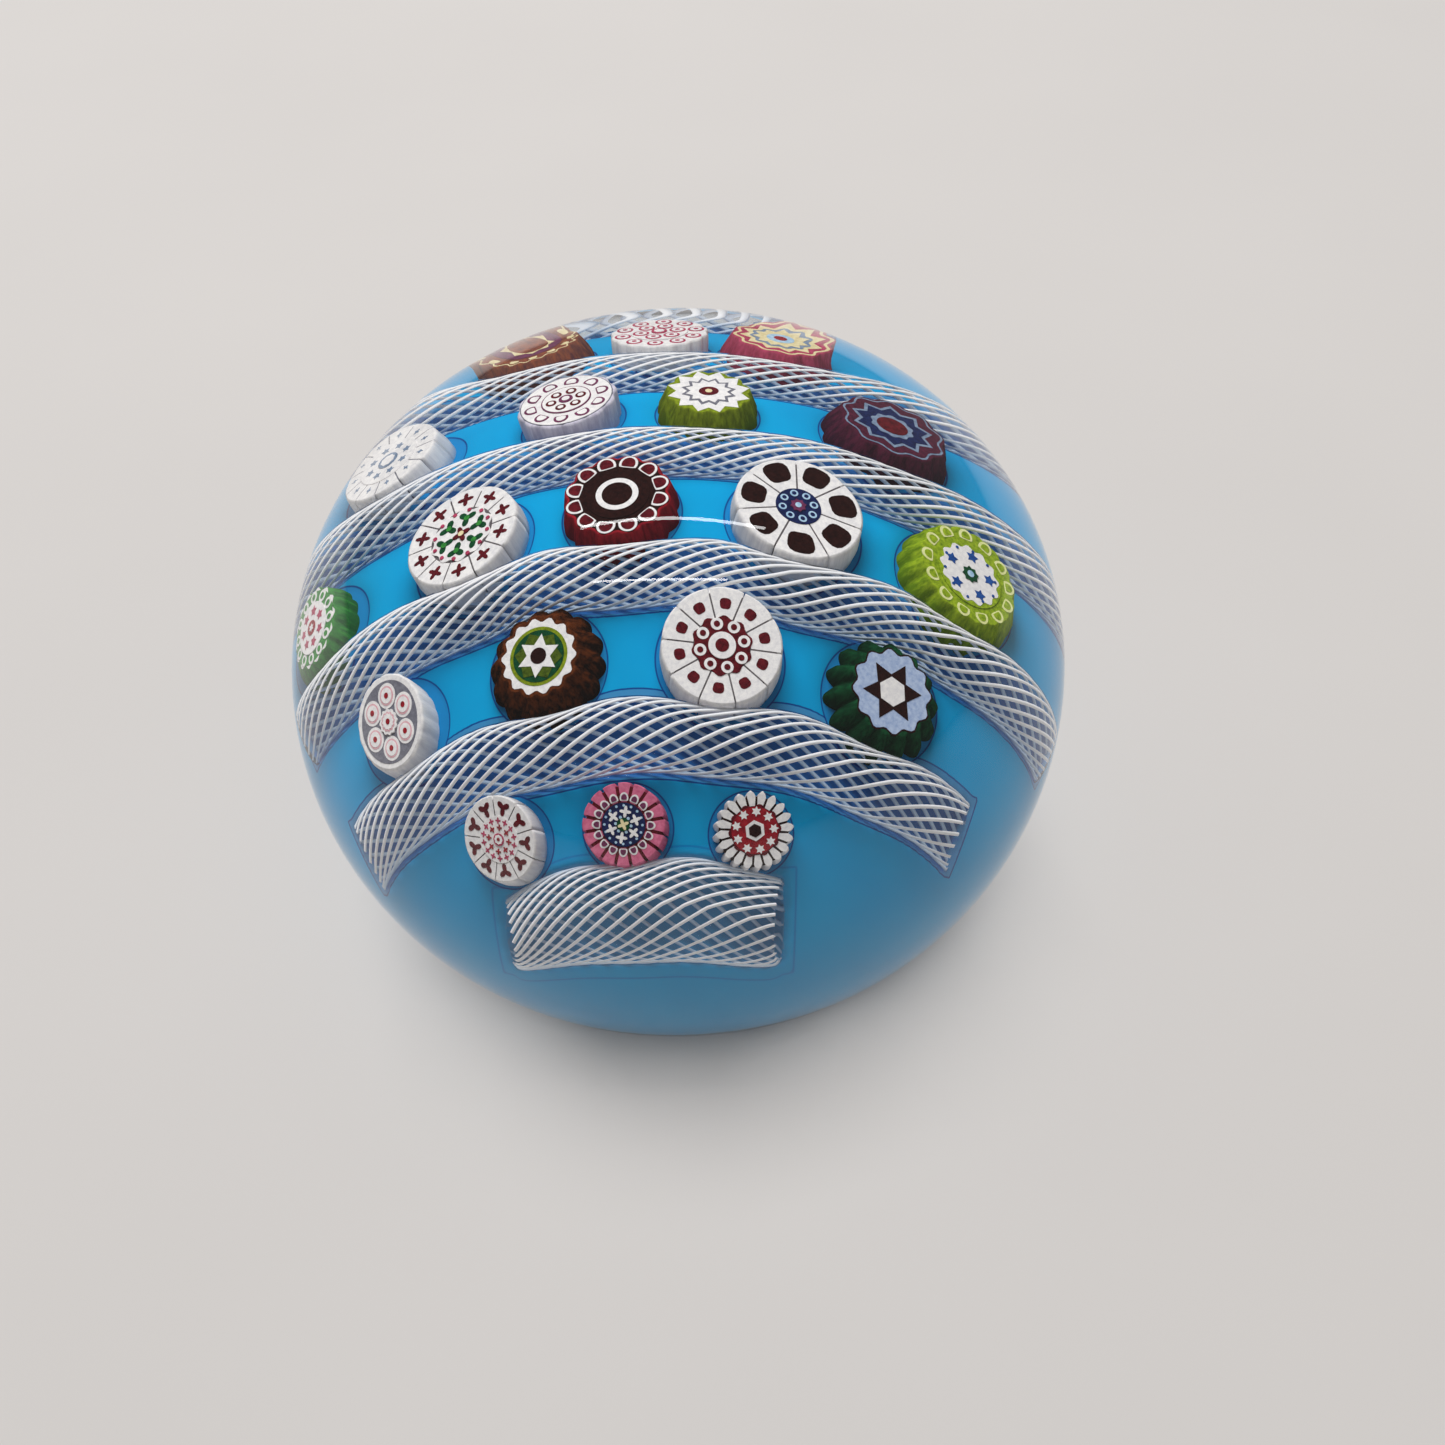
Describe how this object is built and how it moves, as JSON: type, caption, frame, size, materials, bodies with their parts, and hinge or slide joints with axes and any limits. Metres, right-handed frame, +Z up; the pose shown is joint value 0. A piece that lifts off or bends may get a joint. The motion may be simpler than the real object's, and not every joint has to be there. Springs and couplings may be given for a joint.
{
  "type": "paperweight",
  "caption": "Domed glass paperweight with millefiori cane slices and twisted filigree rods laid in rows over a blue ground, encased in clear glass.",
  "frame": {"origin": "middle of the foot, on the surface that it rests on", "axes": "+Z up through the crown, +X along the filigree rods, -Y towards the front row of canes"},
  "size_m": [0.08, 0.08, 0.054],
  "materials": {
    "clear_glass": "fire-polished clear crystal, foot ring ground flat",
    "blue_glass": "opaque sky-blue ground glass",
    "rod_glass": "clear rod glass",
    "thread_glass": "opaque white glass threads, drawn and twisted",
    "amber_casing": "opaque drawn cane glass",
    "amber_heart": "opaque drawn cane glass",
    "floret_casing": "opaque drawn cane glass",
    "floret_heart": "opaque drawn cane glass",
    "rose_casing": "opaque drawn cane glass",
    "rose_heart": "opaque drawn cane glass",
    "pearl_casing": "opaque drawn cane glass",
    "pearl_heart": "opaque drawn cane glass",
    "violet_casing": "opaque drawn cane glass",
    "violet_heart": "opaque drawn cane glass",
    "olive_casing": "opaque drawn cane glass",
    "olive_heart": "opaque drawn cane glass",
    "plum_casing": "opaque drawn cane glass",
    "plum_heart": "opaque drawn cane glass",
    "green_casing": "opaque drawn cane glass",
    "green_heart": "opaque drawn cane glass",
    "clover_casing": "opaque drawn cane glass",
    "clover_heart": "opaque drawn cane glass",
    "ruby_casing": "opaque drawn cane glass",
    "ruby_heart": "opaque drawn cane glass",
    "petal_casing": "opaque drawn cane glass",
    "petal_heart": "opaque drawn cane glass",
    "lime_casing": "opaque drawn cane glass",
    "lime_heart": "opaque drawn cane glass",
    "rosette_casing": "opaque drawn cane glass",
    "rosette_heart": "opaque drawn cane glass",
    "chestnut_casing": "opaque drawn cane glass",
    "chestnut_heart": "opaque drawn cane glass",
    "window_casing": "opaque drawn cane glass",
    "window_heart": "opaque drawn cane glass",
    "forest_casing": "opaque drawn cane glass",
    "forest_heart": "opaque drawn cane glass",
    "trefoil_casing": "opaque drawn cane glass",
    "trefoil_heart": "opaque drawn cane glass",
    "pink_casing": "opaque drawn cane glass",
    "pink_heart": "opaque drawn cane glass",
    "snow_casing": "opaque drawn cane glass",
    "snow_heart": "opaque drawn cane glass"
  },
  "bodies": {
    "root": {"base_plate": "clear_glass", "clear_dome": "clear_glass", "ground_cushion": "blue_glass", "filigree_rod_1_core": "rod_glass", "filigree_rod_1_threads": "thread_glass", "filigree_rod_2_core": "rod_glass", "filigree_rod_2_threads": "thread_glass", "filigree_rod_3_core": "rod_glass", "filigree_rod_3_threads": "thread_glass", "filigree_rod_4_core": "rod_glass", "filigree_rod_4_threads": "thread_glass", "filigree_rod_5_core": "rod_glass", "filigree_rod_5_threads": "thread_glass", "filigree_rod_6_core": "rod_glass", "filigree_rod_6_threads": "thread_glass", "amber_cane_casing": "amber_casing", "amber_cane_heart": "amber_heart", "floret_cane_casing": "floret_casing", "floret_cane_heart": "floret_heart", "rose_cane_casing": "rose_casing", "rose_cane_heart": "rose_heart", "pearl_cane_casing": "pearl_casing", "pearl_cane_heart": "pearl_heart", "violet_cane_casing": "violet_casing", "violet_cane_heart": "violet_heart", "olive_cane_casing": "olive_casing", "olive_cane_heart": "olive_heart", "plum_cane_casing": "plum_casing", "plum_cane_heart": "plum_heart", "green_cane_casing": "green_casing", "green_cane_heart": "green_heart", "clover_cane_casing": "clover_casing", "clover_cane_heart": "clover_heart", "ruby_cane_casing": "ruby_casing", "ruby_cane_heart": "ruby_heart", "petal_cane_casing": "petal_casing", "petal_cane_heart": "petal_heart", "lime_cane_casing": "lime_casing", "lime_cane_heart": "lime_heart", "rosette_cane_casing": "rosette_casing", "rosette_cane_heart": "rosette_heart", "chestnut_cane_casing": "chestnut_casing", "chestnut_cane_heart": "chestnut_heart", "window_cane_casing": "window_casing", "window_cane_heart": "window_heart", "forest_cane_casing": "forest_casing", "forest_cane_heart": "forest_heart", "trefoil_cane_casing": "trefoil_casing", "trefoil_cane_heart": "trefoil_heart", "pink_cane_casing": "pink_casing", "pink_cane_heart": "pink_heart", "snow_cane_casing": "snow_casing", "snow_cane_heart": "snow_heart"}
  },
  "joints": []
}
